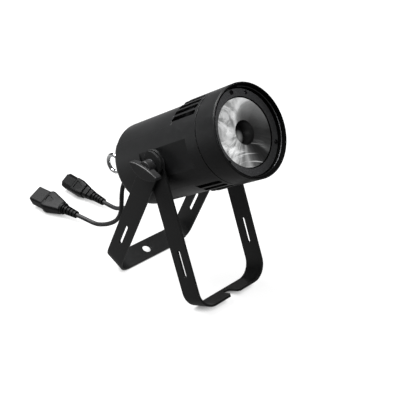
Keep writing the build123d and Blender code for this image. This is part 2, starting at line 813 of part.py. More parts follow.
def edges_at(builder, x):
    """Edges centred at a distance x either side of the middle."""
    return builder.edges().filter_by(lambda edge: abs(abs(edge.center().X) - x) < 0.01)


def lock_knob(sign):
    """Round hub with a two-winged grip, bored for the stud."""
    with BuildPart() as knob:
        with BuildSketch(side_plane(HUB_X, sign)):
            Circle(9.8)
        extrude(amount=HUB_LEN)
        fillet(edges_at(knob, HUB_X + HUB_LEN), 1.2)
        with BuildSketch(Plane(origin=side_plane(WING_X, sign).origin,
                               x_dir=(0, 0.988, 0.153), z_dir=(sign, 0, 0))):
            with BuildLine():
                ThreePointArc((-27, -sign * 1.1), (0, -sign * 13.6), (27, -sign * 1.1))
                ThreePointArc((27, -sign * 1.1), (0, sign * 3.5), (-27, -sign * 1.1))
            wings = make_face()
            fillet(wings.vertices(), 2.5)
        extrude(amount=WING_T)
        fillet(edges_at(knob, WING_X + WING_T), 1.5)
        with BuildSketch(side_plane(REAR_HALF + 1.6, sign)):
            Circle(STUD_R)
        extrude(amount=8, mode=Mode.SUBTRACT)
    return knob


def knob_stud(sign):
    with BuildPart() as stud:
        with BuildSketch(side_plane(STUD_X, sign)):
            Circle(STUD_R)
        extrude(amount=STUD_END_X - STUD_X)
        chamfer(stud.edges().filter_by(GeomType.CIRCLE), 0.6)
    return stud


# sides are named as seen from in front of the lamp
for side, sign in (("left", -1), ("right", 1)):
    save(side_rings((sign,), REAR_HALF + GAP, 10, WASHER_HOLE_R, 1.5, rim_chamfer=0.3),
         "outer_washer_" + side)
    save(lock_knob(sign), "lock_knob_" + side)
    save(knob_stud(sign), "knob_stud_" + side)

# ------------------------------------------------------------------- leads
LEAD_START = -116.2                # station where the free cables start
IN_DIR = Vector(0.03, 0.998, 0.05).normalized()
OUT_DIR = Vector(-0.096, 0.994, 0.052).normalized()
# points each cable passes, as x, y, z from the pivot; the last is its end
IN_ROUTE = ((17, 123, -96), (27, 143, -139), (43, 193, -173.5), (49.2, 239.3, -181.5))
OUT_ROUTE = ((-12.2, 122, -97), (-9.2, 134, -145), (-6.4, 183, -178.8),
             (-9.5, 234.5, -180.5))


def cable(x, route, end_dir):
    """Cable from the boot at x through the route, with a ball closing its start."""
    start = head_point(x, GLAND_UP, LEAD_START)
    with BuildPart() as lead:
        with BuildLine() as path:
            Spline(start, *[PIVOT + Vector(*point) for point in route],
                   tangents=(BEAM * -1, end_dir))
        with BuildSketch(path_start(path.line)):
            Circle(CABLE_R)
        sweep(path=path.line)
        with Locations(start):
            Sphere(CABLE_R - 0.05)
    return lead


save(cable(GLAND_X, IN_ROUTE, IN_DIR), "power_in_cable")
save(cable(-GLAND_X, OUT_ROUTE, OUT_DIR), "power_out_cable")

# -------------------------------------------------------------- connectors
SLEEVE_START = 0.05
SLEEVE_START_R = 5.7
GROOVES = (4.2, 10.2, 16.2, 22.2)  # distances along the sleeve
GROOVE_WIDTH = 2.4
PIN_SPOTS = ((-7, -2.0), (0, 2.0), (7, -2.0))


def connector_plane(route, direction, roll):
    """Plane at a cable's end, normal along it, local x level and then rolled."""
    level = Vector(direction.Y, -direction.X, 0).normalized()
    rolled = level * cosd(roll) + level.cross(direction) * sind(roll)
    return Plane(origin=PIVOT + Vector(*route[-1]), x_dir=rolled, z_dir=direction)


def upper_face(base, distance, height):
    """Plane on a connector's upper face, which is on its local -y side."""
    return Plane(origin=base.origin + base.z_dir * distance - base.y_dir * height,
                 x_dir=base.z_dir, z_dir=base.y_dir * -1)


def groove_floor_r(distance):
    return 4.6 + distance * 0.04


PLUG = connector_plane(IN_ROUTE, IN_DIR, roll=38.0)
SOCKET = connector_plane(OUT_ROUTE, OUT_DIR, roll=26.0)

# inlet-type plug: ribbed sleeve, waisted neck, grip body, and a shroud with two cut corners
GRIP_START = 58
GRIP_SIZE = (26, 19, 4.5)          # width, height, corner radius
with BuildPart() as power_in_plug:
    # sleeve
    with BuildSketch(PLUG.offset(SLEEVE_START)):
        Circle(SLEEVE_START_R)
    with BuildSketch(PLUG.offset(27)):
        Circle(7.4)
    loft()
    # neck, then the flare up to the grip
    for start, start_size, end, end_size in ((26, (15, 13.5, 4), 46, (20, 16, 4)),
                                             (46, (22, 17, 4.5), GRIP_START, GRIP_SIZE)):
        with BuildSketch(PLUG.offset(start)):
            RectangleRounded(*start_size)
        with BuildSketch(PLUG.offset(end)):
            RectangleRounded(*end_size)
        loft()
    with BuildSketch(PLUG.offset(GRIP_START)):
        RectangleRounded(*GRIP_SIZE)
    extrude(amount=12)
    # step between grip and shroud
    with BuildSketch(PLUG.offset(70)):
        RectangleRounded(22, 15, 3)
    extrude(amount=1.6)
    with BuildSketch(PLUG.offset(71.6)):
        with BuildLine():
            Polyline((-12.5, 8.5), (12.5, 8.5), (12.5, -3.2), (7.2, -8.5),
                     (-7.2, -8.5), (-12.5, -3.2), close=True)
        make_face()
        fillet(vertices(), radius=1.2)
    extrude(amount=23.4)
    # shroud mouth
    with BuildSketch(PLUG.offset(95.05)):
        with BuildLine():
            Polyline((-10.9, 6.9), (10.9, 6.9), (10.9, -2.5), (6.5, -6.9),
                     (-6.5, -6.9), (-10.9, -2.5), close=True)
        make_face()
    extrude(amount=-18, mode=Mode.SUBTRACT)
    for distance in GROOVES:
        with BuildSketch(PLUG.offset(distance)):
            Circle(9)
            Circle(groove_floor_r(distance), mode=Mode.SUBTRACT)
        extrude(amount=GROOVE_WIDTH, mode=Mode.SUBTRACT)
    # two grooves round the neck: distance, width and height left inside
    for distance, width, height in ((32.0, 12.4, 10.6), (42.4, 14.6, 11.6)):
        with BuildSketch(PLUG.offset(distance)):
            Circle(16)
            RectangleRounded(width, height, 3.2, mode=Mode.SUBTRACT)
        extrude(amount=2.8, mode=Mode.SUBTRACT)
    # finger recess
    with BuildSketch(upper_face(PLUG, GRIP_START, 9.6)):
        with BuildLine():
            Polyline((-8, -2.5), (8, -8), (8, 8), (-8, 2.5), close=True)
        make_face()
        fillet(vertices(), radius=1.8)
    extrude(amount=-1.3, mode=Mode.SUBTRACT)
    # pin seats
    with BuildSketch(PLUG.offset(77.5)):
        with Locations(*PIN_SPOTS):
            Rectangle(4.0, 2.0)
    extrude(amount=-11.5, mode=Mode.SUBTRACT)
save(power_in_plug, "power_in_plug")

with BuildPart() as power_in_pins:
    with BuildSketch(PLUG.offset(66)):
        with Locations(*PIN_SPOTS):
            Rectangle(4.0, 2.0)
    extrude(amount=24)
save(power_in_pins, "power_in_pins")

# connector-type socket: ribbed sleeve, collar, body that flares to two shoulders, narrower nose
SHOULDER_START = 57.5
SHOULDER_END = 62
SHOULDER_SIZE = (33, 20, 4)        # width, height, corner radius
NOSE_START = 66
NOSE_SIZE = (27.5, 18.6, 3)
with BuildPart() as power_out_socket:
    # sleeve and collar
    with BuildSketch(SOCKET.offset(SLEEVE_START)):
        Circle(SLEEVE_START_R)
    with BuildSketch(SOCKET.offset(28)):
        Circle(7.9)
    loft()
    with BuildSketch(SOCKET.offset(27)):
        Circle(9.6)
    extrude(amount=5)
    # flared body and shoulders
    with BuildSketch(SOCKET.offset(31)):
        RectangleRounded(20, 15, 4)
    with BuildSketch(SOCKET.offset(SHOULDER_START)):
        RectangleRounded(*SHOULDER_SIZE)
    loft()
    with BuildSketch(SOCKET.offset(SHOULDER_START)):
        RectangleRounded(*SHOULDER_SIZE)
    extrude(amount=SHOULDER_END - SHOULDER_START)
    # nose
    with BuildSketch(SOCKET.offset(SHOULDER_END)):
        RectangleRounded(*SHOULDER_SIZE)
    with BuildSketch(SOCKET.offset(NOSE_START)):
        RectangleRounded(*NOSE_SIZE)
    loft()
    with BuildSketch(SOCKET.offset(NOSE_START)):
        RectangleRounded(*NOSE_SIZE)
    extrude(amount=24)
    for distance in GROOVES:
        with BuildSketch(SOCKET.offset(distance)):
            Circle(9)
            Circle(groove_floor_r(distance), mode=Mode.SUBTRACT)
        extrude(amount=GROOVE_WIDTH, mode=Mode.SUBTRACT)
    # finger recess
    with BuildSketch(upper_face(SOCKET, 57, 10.1)):
        with BuildLine():
            Polyline((-7, -3), (5.5, -6.5), (5.5, 6.5), (-7, 3), close=True)
        make_face()
        fillet(vertices(), radius=1.8)
    extrude(amount=-1.3, mode=Mode.SUBTRACT)
    # contact openings
    with BuildSketch(SOCKET.offset(90.05)):
        with Locations(*PIN_SPOTS):
            Rectangle(5.2, 2.8)
    extrude(amount=-19, mode=Mode.SUBTRACT)
save(power_out_socket, "power_out_socket")

with BuildPart() as power_out_contacts:
    with BuildSketch(SOCKET.offset(88.5)):
        with Locations(*PIN_SPOTS):
            Rectangle(5.1, 2.7)
            Rectangle(4.1, 2.05, mode=Mode.SUBTRACT)
    extrude(amount=-17)
save(power_out_contacts, "power_out_contacts")
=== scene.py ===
"""A stage spotlight on a two-bracket floor stand, with its finishes, power leads and studio.

Metres, +Z up, X across the lamp. The rear bracket rises from the origin to the pivot of the head.
The head shines towards -Y and upwards; both leads leave its back, towards +Y.
"""

import math

import bmesh
import bpy
from mathutils import Matrix, Vector


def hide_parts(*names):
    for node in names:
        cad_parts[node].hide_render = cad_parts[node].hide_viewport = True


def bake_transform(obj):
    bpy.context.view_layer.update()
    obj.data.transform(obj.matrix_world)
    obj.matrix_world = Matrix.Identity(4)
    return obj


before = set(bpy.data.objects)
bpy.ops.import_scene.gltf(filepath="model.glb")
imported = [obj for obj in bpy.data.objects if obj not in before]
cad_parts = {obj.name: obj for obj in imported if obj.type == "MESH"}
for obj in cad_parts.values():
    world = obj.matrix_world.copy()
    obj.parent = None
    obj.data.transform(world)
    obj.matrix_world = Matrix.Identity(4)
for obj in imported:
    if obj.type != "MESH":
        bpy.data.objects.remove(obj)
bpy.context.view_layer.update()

# ------------------------------------------------------------------ frame
MM = 0.001
REAR_LEAN = math.radians(25.2)  # rear bracket from the vertical
TILT = math.radians(29.5)  # beam above the horizontal
PIVOT_REACH = 0.206  # origin to pivot, along the rear bracket
FOOT_OFFSET = 0.015  # square to the rear bracket, sets the floor height
FLOOR_GAP = 0.0002
PIVOT = PIVOT_REACH * Vector((0, -math.sin(REAR_LEAN), math.cos(REAR_LEAN)))
BEAM = Vector((0, -math.cos(TILT), math.sin(TILT)))
HEAD_UP = Vector((0, math.sin(TILT), math.cos(TILT)))
FLOOR_Z = -FOOT_OFFSET * math.sin(REAR_LEAN) - FLOOR_GAP


def add_object(name, data):
    made = bpy.data.objects.new(name, data)
    bpy.context.scene.collection.objects.link(made)
    return made


# ----------------------------------------------------------- node helpers
class Nodes:
    """The emptied node tree of a material or world, with short calls to fill it."""

    def __init__(self, owner):
        owner.use_nodes = True
        self.tree = owner.node_tree
        self.tree.nodes.clear()

    def feed(self, node, inputs):
        """Link sockets to a node's inputs and set plain values on them."""
        for key, value in inputs.items():
            socket = node.inputs[key]
            if isinstance(value, bpy.types.NodeSocket):
                self.tree.links.new(value, socket)
            elif socket.type == "RGBA":
                socket.default_value = (*value, 1.0)
            else:
                socket.default_value = value

    def node(self, kind, inputs=None, **props):
        made = self.tree.nodes.new("ShaderNode" + kind)
        for key, value in props.items():
            setattr(made, key, value)
        self.feed(made, inputs or {})
        return made

    def mix_shader(self, factor, first, second):
        return self.node("MixShader", {0: factor, 1: first, 2: second}).outputs[0]


class Material(Nodes):
    """A principled material, textured in object coordinates."""

    def __init__(self, name):
        self.material = bpy.data.materials.new(name)
        super().__init__(self.material)
        self.bsdf = self.node("BsdfPrincipled")
        self.out = self.node("OutputMaterial", {0: self.bsdf.outputs[0]})
        self.coord = self.node("TexCoord").outputs["Object"]

    def surface(self, inputs):
        self.feed(self.bsdf, inputs)

    def mapped(self, scale=(1, 1, 1), turn=(0, 0, 0)):
        inputs = {"Scale": scale, "Rotation": turn, "Vector": self.coord}
        return self.node("Mapping", inputs).outputs[0]

    def noise(self, scale=1.0, detail=2.0, rough=0.5, vector=None, distort=0.0):
        return self.node("TexNoise", {
            "Scale": scale, "Detail": detail, "Roughness": rough, "Distortion": distort,
            "Vector": vector or self.coord}).outputs["Fac"]

    def voronoi(self, scale, vector=None):
        inputs = {"Scale": scale, "Vector": vector or self.coord}
        return self.node("TexVoronoi", inputs).outputs["Distance"]

    def remap(self, value, over, to=(0.0, 1.0)):
        """Carry the range `over` to the range `to`, clamped."""
        return self.node("MapRange", {
            "From Min": over[0], "From Max": over[1], "To Min": to[0], "To Max": to[1],
            "Value": value}).outputs[0]

    def math(self, operation, *values):
        return self.node("Math", dict(enumerate(values)), operation=operation).outputs[0]

    def plus(self, a, b):
        return self.math("ADD", a, b)

    def minus(self, a, b):
        return self.math("SUBTRACT", a, b)

    def times(self, a, b):
        return self.math("MULTIPLY", a, b)

    def dot(self, a, b):
        made = self.node("VectorMath", {0: a, 1: b}, operation="DOT_PRODUCT")
        return made.outputs["Value"]

    def combine(self, x, y, z=0.0):
        return self.node("CombineXYZ", {0: x, 1: y, 2: z}).outputs[0]

    def mix(self, factor, first, second):
        """Blend two colours; inputs 6 and 7 and output 2 are the Mix node's colour sockets."""
        made = self.node("Mix", {0: factor}, data_type="RGBA")
        self.feed(made, {6: first, 7: second})
        return made.outputs[2]

    def bump(self, height, strength, distance, normal=None):
        inputs = {"Strength": strength, "Distance": distance, "Height": height}
        if normal:
            inputs["Normal"] = normal
        return self.node("Bump", inputs).outputs[0]

    def edges(self, radius):
        """A mask, 1 on sharp edges and 0 on flat ground, and the bevelled normal."""
        bevel = self.node("Bevel", {"Radius": radius}, samples=4).outputs[0]
        flat = self.node("NewGeometry").outputs["Normal"]
        return self.remap(self.dot(bevel, flat), over=(0.985, 0.80)), bevel

    def head_plane(self):
        """Radius from the beam axis, and the x and up distances that make it."""
        x = self.node("SeparateXYZ", {0: self.coord}).outputs["X"]
        up = self.minus(self.dot(self.coord, HEAD_UP), PIVOT.dot(HEAD_UP))
        radius = self.math("SQRT", self.plus(self.times(x, x), self.times(up, up)))
        return radius, x, up


def tint(base, gain, lift=0.0, top=math.inf):
    return tuple(min(top, c * gain + lift) for c in base)


# -------------------------------------------------------------- materials
def powder_coat(name, base=(0.0075, 0.0078, 0.0082), rough=0.38, grain=0.10, wear=0.5,
                bevel=0.0005):
    """Fine satin powder coat: tight orange peel, patchy gloss, thin paint on the edges."""
    mat = Material(name)
    fine = mat.noise(scale=1700, detail=3, rough=0.6)
    peel = mat.noise(scale=420)
    broad = mat.noise(scale=9, detail=4, rough=0.55)
    dust = mat.noise(scale=130, detail=6, rough=0.75)
    edge, normal = mat.edges(bevel)
    chips = mat.noise(scale=60, detail=4, rough=0.7)
    worn = mat.times(edge, mat.remap(chips, over=(0.42, 0.66)))
    colour = mat.mix(mat.remap(broad, over=(0.3, 0.7)), tint(base, 0.86), tint(base, 1.16))
    dusty = mat.times(mat.remap(dust, over=(0.56, 0.8)), 0.16)
    colour = mat.mix(dusty, colour, tint(base, 4, lift=0.03))
    colour = mat.mix(mat.times(worn, wear * 0.5), colour, (0.10, 0.10, 0.10))
    gloss = mat.plus(
        mat.remap(broad, over=(0.25, 0.75), to=(rough - 0.05, rough + 0.05)),
        mat.remap(dust, over=(0.4, 0.8), to=(-0.02, 0.06)))
    height = mat.plus(mat.times(fine, 0.55), mat.times(peel, 0.8))
    mat.surface({
        "Base Color": colour,
        "Roughness": mat.minus(gloss, mat.times(edge, 0.08)),
        "Normal": mat.bump(height, grain, distance=0.00012, normal=normal)})
    return mat


def moulded(name, base, rough=0.5, grain=0.2, scale=900, bevel=0.0006, specular=0.45):
    """Injection moulded plastic with a spark-eroded grain, scuffed a little on its edges."""
    mat = Material(name)
    cells = mat.voronoi(scale)
    soft = mat.noise(scale=scale * 0.35, detail=3, rough=0.6)
    broad = mat.noise(scale=25, detail=4, rough=0.6)
    streaks = mat.mapped(scale=(1, 6, 1), turn=(0.3, 0.5, 0.2))
    scratches = mat.noise(scale=180, detail=5, rough=0.8, vector=streaks)
    edge, normal = mat.edges(bevel)
    colour = mat.mix(mat.remap(broad, over=(0.3, 0.7)), tint(base, 0.85), tint(base, 1.2))
    patches = mat.noise(scale=90, detail=4, rough=0.7)
    scuff = mat.times(edge, mat.remap(patches, over=(0.4, 0.7)))
    colour = mat.mix(mat.times(scuff, 0.3), colour, tint(base, 3, lift=0.04, top=1))
    mat.surface({
        "Base Color": colour,
        "Roughness": mat.plus(
            mat.remap(broad, over=(0.25, 0.75), to=(rough - 0.06, rough + 0.06)),
            mat.remap(scratches, over=(0.5, 0.8), to=(0.0, 0.08))),
        "Normal": mat.bump(mat.plus(cells, mat.times(soft, 0.7)), grain,
                           distance=0.00015, normal=normal),
        "Specular IOR Level": specular})
    return mat


def rubber(name, base=(0.016, 0.016, 0.017), rough=0.55, grain=0.25):
    """Matt rubber or soft PVC, faintly bloomed and dusty."""
    mat = Material(name)
    fine = mat.noise(scale=1300, detail=4, rough=0.7)
    bloom = mat.noise(scale=45, detail=5, rough=0.65)
    edge, normal = mat.edges(radius=0.0005)
    colour = mat.mix(mat.remap(bloom, over=(0.4, 0.75)), base, tint(base, 1.9, lift=0.004))
    colour = mat.mix(mat.times(edge, 0.3), colour, tint(base, 2.5, lift=0.01))
    mat.surface({
        "Base Color": colour,
        "Roughness": mat.remap(bloom, over=(0.3, 0.8), to=(rough - 0.06, rough + 0.12)),
        "Normal": mat.bump(fine, grain, distance=0.0001, normal=normal),
        "Specular IOR Level": 0.4})
    return mat


def metal(name, base, rough, brushed=None, wear=0.2, fine=900):
    """Bare or plated metal with fine scratches and handling marks."""
    mat = Material(name)
    vector = mat.mapped(scale=brushed) if brushed else None
    lines = mat.noise(scale=fine, detail=4, rough=0.7, vector=vector)
    smear = mat.noise(scale=35, detail=5, rough=0.6)
    edge, normal = mat.edges(radius=0.0004)
    colour = mat.mix(mat.remap(smear, over=(0.35, 0.7)), base, tint(base, 0.78))
    colour = mat.mix(mat.times(edge, wear), colour, tint(base, 1.4, lift=0.05, top=1))
    mat.surface({
        "Base Color": colour,
        "Metallic": 1.0,
        "Roughness": mat.plus(
            mat.remap(smear, over=(0.3, 0.75), to=(rough * 0.75, rough * 1.35)),
            mat.remap(lines, over=(0.35, 0.7), to=(0.0, rough * 0.35))),
        "Normal": mat.bump(lines, strength=0.08, distance=0.00005, normal=normal)})
    return mat


def board(name, base):
    """Printed circuit board: mask over traces, with tinned pads."""
    mat = Material(name)
    cells = mat.voronoi(scale=260, vector=mat.mapped(turn=(0.1, 0.2, 0.3)))
    traces = mat.noise(scale=160, rough=0.4, vector=mat.mapped(scale=(1, 5, 1)))
    colour = mat.mix(mat.remap(traces, over=(0.48, 0.52)), base, tint(base, 1.7))
    pads = mat.remap(cells, over=(0.16, 0.13))
    relief = mat.remap(traces, over=(0.46, 0.54))
    mat.surface({
        "Base Color": mat.mix(pads, colour, (0.62, 0.6, 0.52)),
        "Metallic": pads,
        "Roughness": mat.remap(traces, over=(0.3, 0.7), to=(0.28, 0.4)),
        "Normal": mat.bump(relief, strength=0.3, distance=0.00008)})
    return mat


def glass(name, colour):
    """Clear tinted plastic, a little smeared."""
    mat = Material(name)
    smear = mat.noise(scale=70, detail=4, rough=0.6)
    mat.surface({
        "Transmission Weight": 1.0,
        "IOR": 1.49,
        "Base Color": mat.mix(mat.remap(smear, over=(0.3, 0.7)), colour, tint(colour, 0.97)),
        "Roughness": mat.remap(smear, over=(0.4, 0.8), to=(0.02, 0.05)),
        "Normal": mat.bump(mat.noise(scale=55), strength=0.02, distance=0.0002)})
    return mat


# Painted reflection brightness round the collimator: degrees from +X towards head-up, tone
LENS_PAINTED_TONES = [
    (-180, .56), (-168, .95), (-156, .95), (-146, .90), (-134, .36), (-120, .25), (-109, .34),
    (-98, .12), (-84, .047), (-72, .018), (-60, .014), (-49, .075), (-40, .028), (-24, .024),
    (-12, .024), (0, .047), (12, .061), (24, .088), (36, .119), (48, .155), (60, .20),
    (72, .26), (82, .36), (92, .85), (102, 1.0), (112, .80), (122, .70), (132, .84),
    (144, .92), (156, 1.0), (168, .90), (179.9, .60)]
GLINT_TILT = math.radians(-17)
WELL_HIGHLIGHT_SHIFT = 0.0035  # painted highlight glowing in the centre well, off axis towards +X and down


def radial_streaks(mat, radius, angle, along, around, detail, rough):
    """Noise that wraps round the axis; `along` and `around` are its two densities."""
    vector = mat.combine(
        mat.times(mat.math("COSINE", angle), around),
        mat.times(mat.math("SINE", angle), around),
        mat.times(radius, along))
    return mat.noise(detail=detail, rough=rough, vector=vector)


def angle_tone(mat, angle):
    """Look the angle up in LENS_PAINTED_TONES."""
    turn = mat.plus(mat.math("DIVIDE", angle, 2 * math.pi), 0.5)
    ramp = mat.node("ValToRGB", {0: turn})
    ramp.color_ramp.interpolation = "EASE"
    stops = ramp.color_ramp.elements
    stops.remove(stops[-1])
    for index, (degrees, tone) in enumerate(LENS_PAINTED_TONES):
        stop = stops.new(degrees / 360 + 0.5) if index else stops[0]
        stop.color = (tone, tone, tone, 1)
    return mat.node("RGBToBW", {0: ramp.outputs[0]}).outputs[0]


def painted_lens_glints(mat, x, up):
    """Painted glints: long thin bowed highlights across the lower part."""
    bend = mat.times(mat.times(x, x), 5.5)
    slant = mat.plus(mat.times(up, math.cos(GLINT_TILT)), mat.times(x, -math.sin(GLINT_TILT)))
    vector = mat.combine(mat.times(x, 13.0), mat.times(mat.plus(slant, bend), 260.0))
    lines = mat.noise(vector=vector, distort=0.4)
    sides = mat.times(mat.remap(x, over=(-0.034, -0.014)), mat.remap(x, over=(0.026, 0.004)))
    return mat.times(
        mat.remap(lines, over=(0.55, 0.66), to=(0.0, 0.70)),
        mat.times(mat.remap(up, over=(-0.012, -0.022)), sides))


def painted_optic(name):
    """Metallised collimator cone, its reflections painted on: broken reflections, radial streaks,
    a centre well painted dark, and a painted glow.
    """
    mat = Material(name)
    radius, x, up = mat.head_plane()
    angle = mat.math("ARCTAN2", up, x)

    # Painted reflections fan out with radius on the upper half and waver everywhere
    warp = radial_streaks(mat, radius, angle, along=55, around=1.6, detail=3, rough=0.6)
    fan = mat.times(mat.minus(radius, 0.028),
                    mat.remap(up, over=(-0.010, 0.010), to=(-4.0, 40.0)))
    waver = mat.times(mat.minus(warp, 0.5), 0.30)
    tone = angle_tone(mat, mat.plus(mat.plus(angle, fan), waver))

    # Fine painted reflection streaks, strongest on the lower half
    fine = radial_streaks(mat, radius, angle, along=22, around=9.0, detail=4, rough=0.65)
    low = mat.remap(up, over=(0.006, -0.012))
    streak = mat.minus(mat.remap(fine, over=(0.34, 0.66), to=(0.62, 1.38)), 1.0)
    strength = mat.plus(0.12, mat.times(low, 0.88))
    tone = mat.times(tone, mat.plus(1.0, mat.times(streak, strength)))

    # Marbled blots in the painted reflections towards -X
    marble = mat.noise(scale=48, detail=4, rough=0.55, distort=1.3)
    left = mat.times(mat.remap(x, over=(0.012, -0.012)), mat.remap(up, over=(-0.026, -0.012)))
    blot = mat.remap(marble, over=(0.38, 0.56), to=(0.42, 1.22))
    tone = mat.times(tone, mat.plus(mat.times(left, blot), mat.minus(1.0, left)))
    tone = mat.plus(tone, painted_lens_glints(mat, x, up))
    # Painted reflections dim towards the centre well
    tone = mat.times(tone, mat.remap(radius, over=(0.016, 0.030), to=(0.62, 1.0)))

    # The centre well replaces the cone's painted reflections with a soft painted highlight spot
    well = mat.remap(radius, over=(0.01545, 0.01535))
    spot_radius = mat.math("SQRT", mat.plus(
        mat.math("POWER", mat.minus(x, WELL_HIGHLIGHT_SHIFT), 2.0),
        mat.math("POWER", mat.plus(up, WELL_HIGHLIGHT_SHIFT), 2.0)))
    mottle = mat.noise(scale=160, detail=4, rough=0.6)
    spot = mat.times(mat.remap(spot_radius, over=(0.0095, 0.0005), to=(0.004, 0.34)),
                     mat.remap(mottle, over=(0.35, 0.65), to=(0.7, 1.2)))
    tone = mat.plus(mat.times(tone, mat.minus(1.0, well)), mat.times(spot, well))

    channels = {i: mat.times(tone, gain) for i, gain in enumerate((0.99, 1.0, 1.0))}
    colour = mat.node("CombineColor", channels).outputs[0]
    mat.surface({
        "Base Color": colour,
        # Emission makes the painted reflections glow, though the cone is no lamp
        "Emission Color": colour,
        "Emission Strength": 0.36,
        "Roughness": mat.remap(marble, over=(0.3, 0.7), to=(0.28, 0.45)),
        "Coat Weight": 0.7,
        "Coat Roughness": 0.04,
        "Normal": mat.bump(marble, strength=0.12, distance=0.0003)})
    return mat


def hood_coat(name):
    """The satin coat outside; dead matt and near black on the inside of the hood, as painted
    shade.
    """
    mat = powder_coat(name)
    radius = mat.head_plane()[0]
    # Painted shade: inside the hood the coat turns near black and dead matt
    inside = mat.remap(radius, over=(0.0583, 0.0578))
    grain = mat.noise(scale=900, detail=4, rough=0.7)
    matt = mat.node("BsdfPrincipled", {
        "Base Color": (0.0011, 0.0011, 0.0012),
        "Specular IOR Level": 0.05,
        "Roughness": mat.remap(grain, over=(0.3, 0.7), to=(0.62, 0.8)),
        "Normal": mat.bump(grain, strength=0.4, distance=0.0002)})
    mat.feed(mat.out, {0: mat.mix_shader(inside, mat.bsdf.outputs[0], matt.outputs[0])})
    return mat


def plate_coat(name):
    """Coat with painted light and shade: paler towards -X and head-up, darker towards +X and down
    in the hood's shade, and a painted black shadow where it meets the lens.
    """
    mat = powder_coat(name, base=(0.075, 0.076, 0.079), rough=0.5, grain=0.5, wear=0.3)
    radius, x, up = mat.head_plane()
    paint = mat.bsdf.inputs["Base Color"].links[0].from_socket
    # Painted light from above -X and painted shade from the hood scale the coat's colour
    light_slope = mat.minus(x, mat.times(up, 0.7))
    gain = mat.remap(light_slope, over=(-0.050, 0.055), to=(1.75, 0.45))
    speck = mat.remap(mat.noise(scale=750, detail=3, rough=0.7),
                      over=(0.45, 0.72), to=(0.75, 1.7))
    shaded = mat.node("VectorMath", {0: paint, "Scale": mat.times(gain, speck)},
                      operation="SCALE").outputs[0]
    # Painted shadow: a black ring where the plate meets the lens
    shadow_gap = (0.0446, 0.0444)
    mat.surface({
        "Base Color": mat.mix(mat.remap(radius, over=shadow_gap), shaded, (0.002, 0.002, 0.002)),
        "Specular IOR Level": mat.remap(radius, over=shadow_gap, to=(0.5, 0.0))})
    return mat


BRACKET = {"rough": 0.46, "grain": 0.14, "wear": 0.6, "bevel": 0.0006}

# Each material and the pieces it covers
FINISHES = [
    (powder_coat("satin_black_coat"), "housing"),
    (powder_coat("bracket_coat", base=(0.008, 0.0082, 0.0085), **BRACKET), "front_bracket"),
    # A darker copy of the bracket coat: painted shade, for the head's shadow on the rear bracket
    (powder_coat("rear_bracket_shaded_coat", base=(0.0048, 0.005, 0.0052), **BRACKET), "rear_bracket"),
    (powder_coat("panel_coat", base=(0.012, 0.0125, 0.013), rough=0.5, grain=0.2),
     "rear_panel"),
    (plate_coat("plate_coat"), "lens_plate"),
    (rubber("black_rubber"),
     "hood_gasket lens_gasket power_in_boot power_out_boot friction_washers"),
    (rubber("cable_sheath", base=(0.013, 0.013, 0.0135), rough=0.5, grain=0.12),
     "power_in_cable power_out_cable"),
    (moulded("black_nylon", base=(0.012, 0.012, 0.0125), rough=0.42),
     "power_in_gland power_out_gland gland_nuts spacer_washers lock_knob_left lock_knob_right"),
    (moulded("connector_pvc", base=(0.0034, 0.0036, 0.0038), grain=0.16, bevel=0.0009,
             specular=0.16), "power_in_plug power_out_socket"),
    (metal("zinc_plate", base=(0.55, 0.55, 0.56), rough=0.3),
     "led_board_screws heatsink_screws chassis_plate safety_eyelet_nut"
     " knob_stud_left knob_stud_right"),
    (metal("black_zinc", base=(0.07, 0.07, 0.075), rough=0.35),
     "rear_panel_screws outer_washer_left outer_washer_right"),
    (metal("dark_screw", base=(0.03, 0.03, 0.032), rough=0.4), "lens_plate_screws"),
    (metal("bright_chrome", base=(0.86, 0.87, 0.88), rough=0.06, wear=0.05, fine=300),
     "safety_eyelet"),
    (metal("plain_aluminium", base=(0.62, 0.63, 0.65), rough=0.35, brushed=(1, 1, 8)),
     "heatsink"),
    (metal("metallised_cup", base=(0.9, 0.91, 0.92), rough=0.08, wear=0.0), "lens_holder"),
    (metal("brass", base=(0.75, 0.56, 0.24), rough=0.28),
     "board_standoffs panel_standoffs pivot_inserts"),
    (metal("nickel_contact", base=(0.7, 0.67, 0.6), rough=0.2),
     "power_in_pins power_out_contacts"),
    (metal("spring_steel", base=(0.11, 0.11, 0.115), rough=0.3), "diffuser_spring_ring"),
    (board("green_board", base=(0.012, 0.075, 0.03)), "driver_board control_board"),
    (board("white_board", base=(0.7, 0.71, 0.7)), "led_board"),
    (painted_optic("collimator_painted_optic"), "collimator_lens"),
    (hood_coat("hood_coat"), "hood_ring"),
    (moulded("phosphor", base=(0.75, 0.55, 0.08), rough=0.35, grain=0.05), "led_emitter"),
    (glass("smoked_window", colour=(0.25, 0.04, 0.04)), "display_window"),
    (moulded("gloss_dark", base=(0.008, 0.006, 0.01), rough=0.08, grain=0.01),
     "display_module ir_receiver button_switches"),
    (moulded("capacitor_sleeve", base=(0.01, 0.02, 0.06), rough=0.3, grain=0.05),
     "driver_capacitors"),
    (moulded("terminal_green", base=(0.02, 0.16, 0.05), rough=0.45), "terminal_blocks"),
    (moulded("transformer_tape", base=(0.5, 0.36, 0.03), rough=0.4, grain=0.1, scale=200),
     "driver_transformer"),
    (rubber("red_wire", base=(0.35, 0.015, 0.012), rough=0.4), "led_wires"),
    (rubber("brown_wire", base=(0.12, 0.05, 0.02), rough=0.4), "mains_wires"),
    (rubber("thermal_silicone", base=(0.35, 0.4, 0.45), rough=0.6), "thermal_pad"),
    (moulded("button_cap", base=(0.05, 0.051, 0.053), rough=0.45),
     "button_menu button_down button_up button_enter"),
]
finish = {piece: mat.material for mat, pieces in FINISHES for piece in pieces.split()}

# Pieces not listed are nylon, like the spacer washers
for name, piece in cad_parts.items():
    piece.data.materials.clear()
    piece.data.materials.append(finish.get(name, finish["spacer_washers"]))

